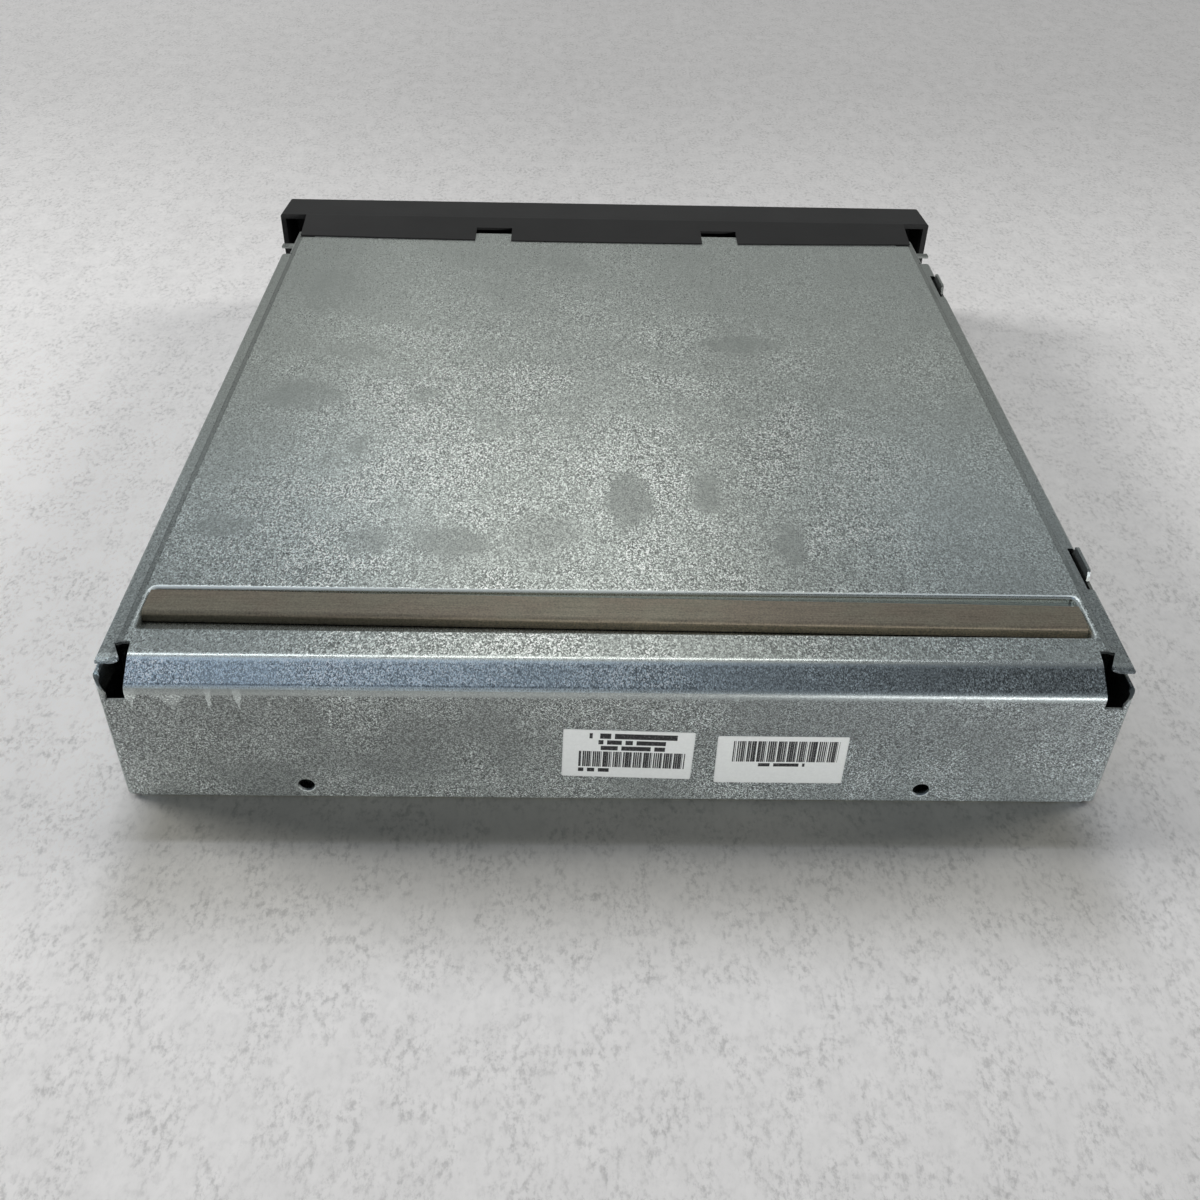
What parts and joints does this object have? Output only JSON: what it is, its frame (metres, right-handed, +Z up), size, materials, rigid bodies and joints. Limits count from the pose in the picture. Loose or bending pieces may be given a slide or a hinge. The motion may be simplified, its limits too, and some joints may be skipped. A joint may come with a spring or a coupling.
{
  "type": "blade bay blank",
  "caption": "Flat folded sheet-steel blank that fills an empty blade bay, with a sloped rear edge, a recessed gasket strip, upright guide tabs and a moulded plastic bezel.",
  "frame": {"origin": "on the underside, below the middle of the part's box", "axes": "+Z up from the underside to the panel, +Y from the rear wall to the bezel, +X to the side with the guide tabs"},
  "size_m": [0.2616, 0.2922, 0.0432],
  "materials": {
    "galvanised_sheet": "dull grey-green galvanised sheet with fine dark speckle",
    "bezel_plastic": "fine-grained charcoal moulding",
    "gasket_cloth": "taupe conductive cloth over foam",
    "label_paper": "off-white matt label stock"
  },
  "bodies": {
    "root": {"folded_tray": "galvanised_sheet", "front_bezel": "bezel_plastic", "rear_gasket": "gasket_cloth", "label_left": "label_paper", "label_right": "label_paper"}
  },
  "joints": []
}
